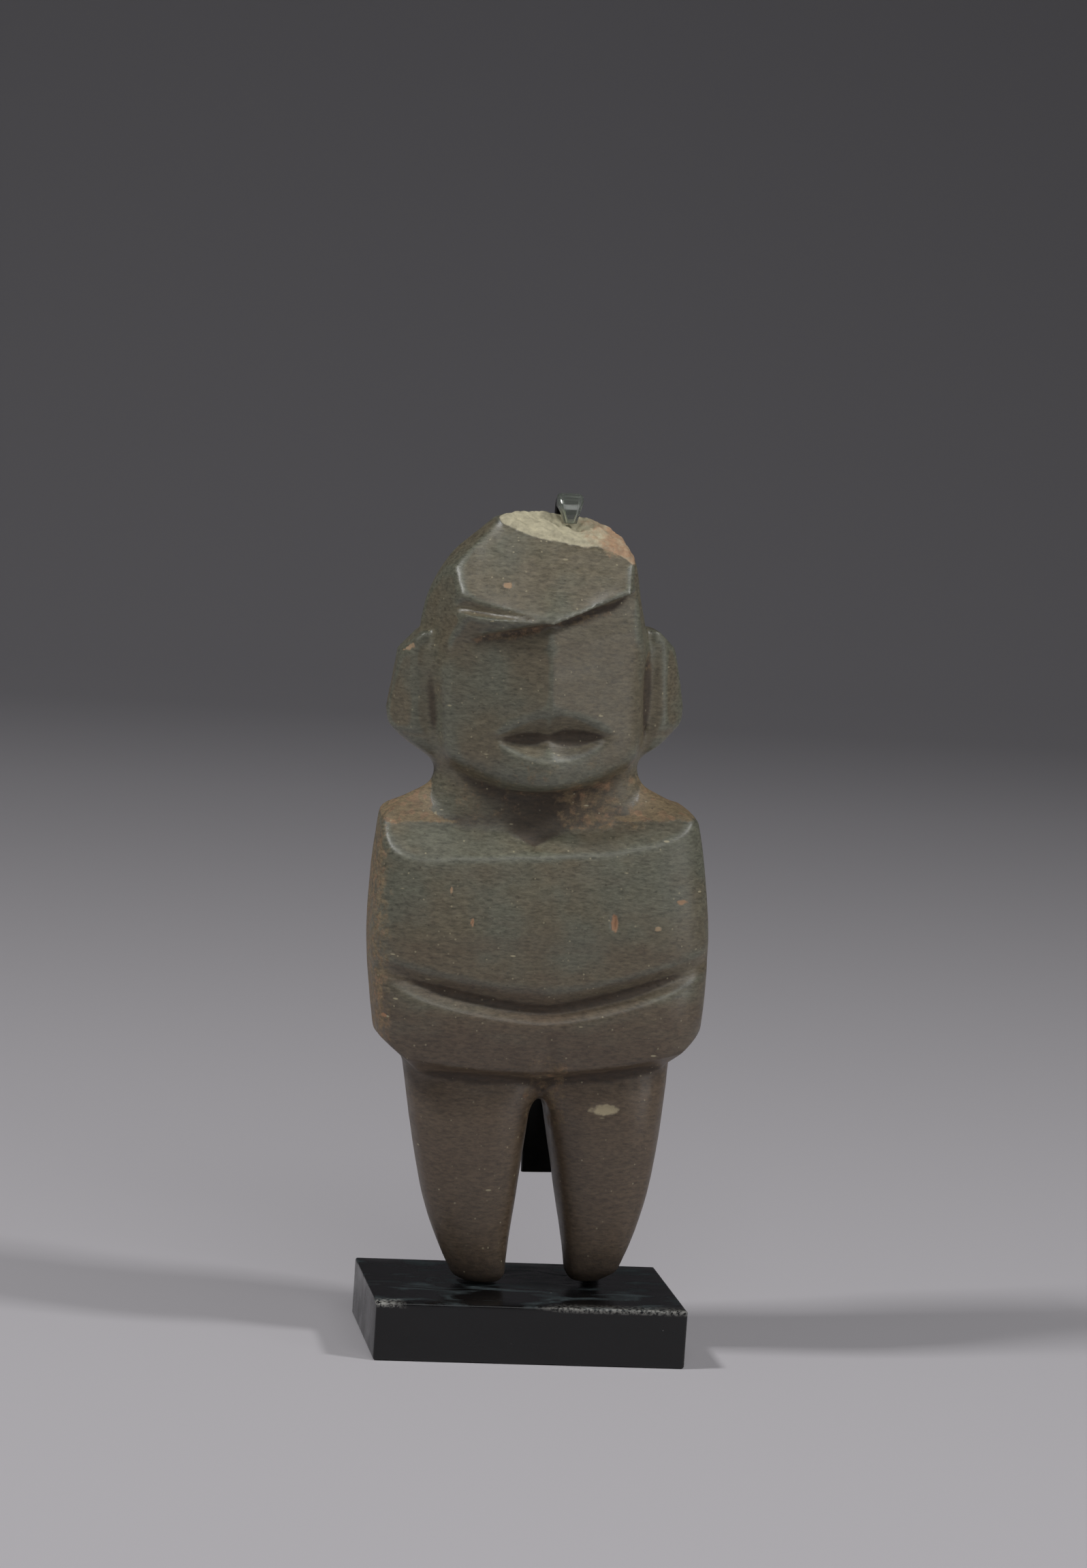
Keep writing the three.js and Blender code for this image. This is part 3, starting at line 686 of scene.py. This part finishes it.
class IDOL_OT_figure(bpy.types.Operator):
    """Carve the stone figure from its CAD solid and give it its patina"""

    bl_idname = "idol.figure"
    bl_label = "Carved figure"

    def execute(self, context):
        settings = context.scene.idol_figure
        piece = carve_figure(settings)
        skin = new_material(
            "Hardstone, ground and polished, patinated", partial(stone_surface, settings)
        )
        settle(piece, "idol", skin)
        return {"FINISHED"}


class IDOL_OT_block(bpy.types.Operator):
    """Make the lacquered base block with its eased edges and the hole for the rod"""

    bl_idname = "idol.block"
    bl_label = "Base block"

    def execute(self, context):
        stand = context.scene.idol_stand
        low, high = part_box("block")
        bpy.ops.object.select_all(action="DESELECT")
        bpy.ops.mesh.primitive_cube_add(size=1, location=(low + high) / 2, scale=high - low)
        piece = context.active_object
        piece.name = piece.data.name = "base_block"
        bpy.ops.object.transform_apply(location=True, rotation=True, scale=True)
        bpy.ops.object.mode_set(mode="EDIT")
        bpy.ops.mesh.select_all(action="SELECT")
        bpy.ops.mesh.subdivide(number_cuts=9)
        bpy.ops.object.mode_set(mode="OBJECT")
        apply_modifier(
            piece,
            "BEVEL",
            width=stand.edge,
            segments=4,
            limit_method="ANGLE",
            angle_limit=math.radians(40),
        )
        bpy.ops.object.select_all(action="DESELECT")
        bpy.ops.mesh.primitive_cylinder_add(
            vertices=48,
            radius=ROD_HOLE_RADIUS * MM,
            depth=2 * ROD_HOLE_DEPTH * MM,
            location=(ROD_PLACE[0] * MM, ROD_PLACE[1] * MM, high.z),
        )
        drill = context.active_object
        apply_modifier(piece, "BOOLEAN", operation="DIFFERENCE", object=drill, solver="EXACT")
        bpy.data.objects.remove(drill)
        select_only(piece)
        bpy.ops.object.shade_smooth_by_angle(angle=math.radians(35))
        points = points_of(piece.data)
        # The pale line along the right part of the top's front edge is a painted highlight on partly
        # worn lacquer. The pale dot at the front-left corner is worn lacquer.
        worn_edge_and_glint = within(points[:, 0], 8, 40, 8) * within(points[:, 1], -21, -19.6, 0.2)
        worn_edge_and_glint = worn_edge_and_glint * within(points[:, 2], 11.4, 12.5, 0.2)
        corner = np.linalg.norm(points - np.array([-31.6, -19.9, 11.8]), axis=1)
        set_attribute(piece.data, "worn", np.maximum(worn_edge_and_glint * 0.6, smooth_step(1.1, 0.5, corner)))
        skin = new_material("Wood, black lacquer, rubbed", partial(lacquer_surface, stand))
        settle(piece, "block", skin)
        return {"FINISHED"}


class IDOL_OT_bracket(bpy.types.Operator):
    """Give the steel bracket behind the figure its smooth skin"""

    bl_idname = "idol.bracket"
    bl_label = "Bracket"

    def execute(self, context):
        piece = copy_of_node("bracket", "steel_bracket")
        select_only(piece)
        bpy.ops.object.shade_smooth_by_angle(angle=math.radians(40))
        stand = context.scene.idol_stand
        skin = new_material("Mild steel, blackened", partial(steel_surface, stand))
        settle(piece, "bracket", skin)
        return {"FINISHED"}


class IDOL_OT_sleeve(bpy.types.Operator):
    """Soften the clear sleeve on the tip of the bracket's hook"""

    bl_idname = "idol.sleeve"
    bl_label = "Clear sleeve"

    def execute(self, context):
        piece = copy_of_node("sleeve", "clear_sleeve")
        apply_modifier(
            piece,
            "REMESH",
            mode="VOXEL",
            voxel_size=0.1 * MM,
            use_smooth_shade=True,
        )
        apply_modifier(piece, "SMOOTH", factor=0.5, iterations=5)
        stand = context.scene.idol_stand
        skin = new_material("PVC, clear, extruded", partial(clear_surface, stand))
        settle(piece, "sleeve", skin)
        return {"FINISHED"}


# The photograph's camera: focal length in the photograph's pixels, its turns in degrees, and
# where the middle of the block's underside stands before it (right, down, ahead), in mm.
PHOTO_WIDTH = 1596
FOCAL_PIXELS = 6500
CAMERA_TURNS = (-8.95, 6.39, -3.83)
BASE_FROM_CAMERA = (-5.8, 114.4, 910)
SENSOR_WIDTH = 36


def add_camera():
    """The camera that took the photograph."""
    azimuth, elevation, roll = (math.radians(turn) for turn in CAMERA_TURNS)
    ahead = Vector((
        -math.sin(azimuth) * math.cos(elevation),
        math.cos(azimuth) * math.cos(elevation),
        -math.sin(elevation),
    ))
    level = ahead.cross(Vector((0, 0, 1))).normalized()
    plumb = ahead.cross(level)
    right = math.cos(roll) * level + math.sin(roll) * plumb
    down = -math.sin(roll) * level + math.cos(roll) * plumb
    place = -(right * BASE_FROM_CAMERA[0] + down * BASE_FROM_CAMERA[1] + ahead * BASE_FROM_CAMERA[2])
    turn = Matrix((right, -down, -ahead)).transposed().to_4x4()
    data = bpy.data.cameras.new("photo_camera")
    data.sensor_fit = "HORIZONTAL"
    data.sensor_width = SENSOR_WIDTH
    data.lens = FOCAL_PIXELS * SENSOR_WIDTH / PHOTO_WIDTH
    camera = bpy.data.objects.new("photo_camera", data)
    camera.matrix_world = Matrix.Translation(place * MM) @ turn
    bpy.context.scene.collection.objects.link(camera)
    bpy.context.scene.camera = camera


def add_softbox(name, towards, distance, size, power):
    """A rectangular soft light in this direction from the figure's middle, facing it, in metres."""
    middle = Vector((0, 0, 0.1))
    data = bpy.data.lights.new(name, "AREA")
    data.shape = "RECTANGLE"
    data.size, data.size_y = size
    data.energy = power
    light = bpy.data.objects.new(name, data)
    light.location = middle + Vector(towards).normalized() * distance
    light.rotation_euler = (middle - light.location).to_track_quat("-Z", "Y").to_euler()
    bpy.context.scene.collection.objects.link(light)


class IDOL_OT_stage(bpy.types.Operator):
    """Set the pale floor, the backdrop, the soft lights and the photograph's camera"""

    bl_idname = "idol.stage"
    bl_label = "Stage"

    def execute(self, context):
        studio = context.scene.idol_studio
        add_sweep(studio)
        add_softbox("left_light", (-0.60, -0.16, 0.78), 1.15, (0.14, 0.14), studio.key)
        add_softbox("right_light", (0.62, -0.30, 0.73), 1.15, (0.14, 0.14), studio.side)
        add_softbox("front_light", (0.05, -0.75, 0.66), 1.3, (0.9, 0.5), studio.fill)
        add_softbox("low_card", (0.75, -0.65, 0.02), 0.9, (0.22, 0.4), studio.card)
        world = bpy.data.worlds.new("studio")
        world.use_nodes = True
        surround = world.node_tree.nodes["Background"]
        surround.inputs["Color"].default_value = linear("#6b6b70")
        surround.inputs["Strength"].default_value = 0.25
        context.scene.world = world
        context.scene.view_settings.view_transform = "Standard"
        add_camera()
        return {"FINISHED"}


def add_sweep(studio):
    """A floor sheet that runs back and curves up into a backdrop, darkened towards the back with painted
    shade.
    """
    bpy.ops.object.select_all(action="DESELECT")
    bpy.ops.mesh.primitive_plane_add(size=1, location=(0, 0.1, -0.05 * MM), scale=(1, 1, 1))
    sheet = bpy.context.active_object
    sheet.name = sheet.data.name = "floor_sheet"
    sheet.scale = (4, 2.4, 1)
    bpy.ops.object.transform_apply(location=True, rotation=True, scale=True)
    far = max(vertex.co.y for vertex in sheet.data.vertices)
    bpy.ops.object.mode_set(mode="EDIT")
    bpy.ops.mesh.select_mode(type="EDGE")
    bpy.ops.mesh.select_all(action="DESELECT")
    bpy.ops.object.mode_set(mode="OBJECT")
    for edge in sheet.data.edges:
        edge.select = all(sheet.data.vertices[i].co.y > far - 0.01 for i in edge.vertices)
    bpy.ops.object.mode_set(mode="EDIT")
    for step in range(1, 13):
        angle = math.radians(7.5 * (step - 0.5))
        move = (0, 0.12 * math.cos(angle), 0.12 * math.sin(angle))
        bpy.ops.mesh.extrude_region_move(TRANSFORM_OT_translate={"value": move})
    bpy.ops.mesh.extrude_region_move(TRANSFORM_OT_translate={"value": (0, 0, 1.5)})
    bpy.ops.object.mode_set(mode="OBJECT")
    bpy.ops.object.shade_smooth()

    points = points_of(sheet.data) * MM
    # run measures the way along the sheet, for the painted shade that darkens it towards the back.
    run = np.hypot(points[:, 1] - points[:, 1].min(), points[:, 2] * 2)
    set_attribute(sheet.data, "run", run / run.max())
    sheet.data.materials.append(new_material("Paper, matt, painted_shade", partial(paper_with_painted_shade, studio)))


class IDOL_PT_panel(bpy.types.Panel):
    """Lists the pieces of the idol and its settings"""

    bl_idname = "IDOL_PT_panel"
    bl_label = "Anthropomorphic idol"
    bl_space_type = "VIEW_3D"
    bl_region_type = "UI"
    bl_category = "Idol"

    def draw(self, context):
        layout = self.layout
        for group in (context.scene.idol_figure, context.scene.idol_stand, context.scene.idol_studio):
            box = layout.box()
            for name in group.__annotations__:
                box.prop(group, name)
        for operator in PIECES:
            layout.operator(operator.bl_idname)


PIECES = (IDOL_OT_figure, IDOL_OT_block, IDOL_OT_bracket, IDOL_OT_sleeve, IDOL_OT_stage)
CLASSES = (FigureSettings, StandSettings, StudioSettings) + PIECES + (IDOL_PT_panel,)


def register():
    """Registers the settings, the operators and the panel."""
    for cls in CLASSES:
        bpy.utils.register_class(cls)
    bpy.types.Scene.idol_figure = bpy.props.PointerProperty(type=FigureSettings)
    bpy.types.Scene.idol_stand = bpy.props.PointerProperty(type=StandSettings)
    bpy.types.Scene.idol_studio = bpy.props.PointerProperty(type=StudioSettings)


def unregister():
    """Removes what register added."""
    del bpy.types.Scene.idol_studio
    del bpy.types.Scene.idol_stand
    del bpy.types.Scene.idol_figure
    for cls in reversed(CLASSES):
        bpy.utils.unregister_class(cls)


def main():
    """Makes every piece and the stage."""
    register()
    bpy.ops.idol.figure()
    bpy.ops.idol.block()
    bpy.ops.idol.bracket()
    bpy.ops.idol.sleeve()
    bpy.ops.idol.stage()


if __name__ == "__main__":
    main()
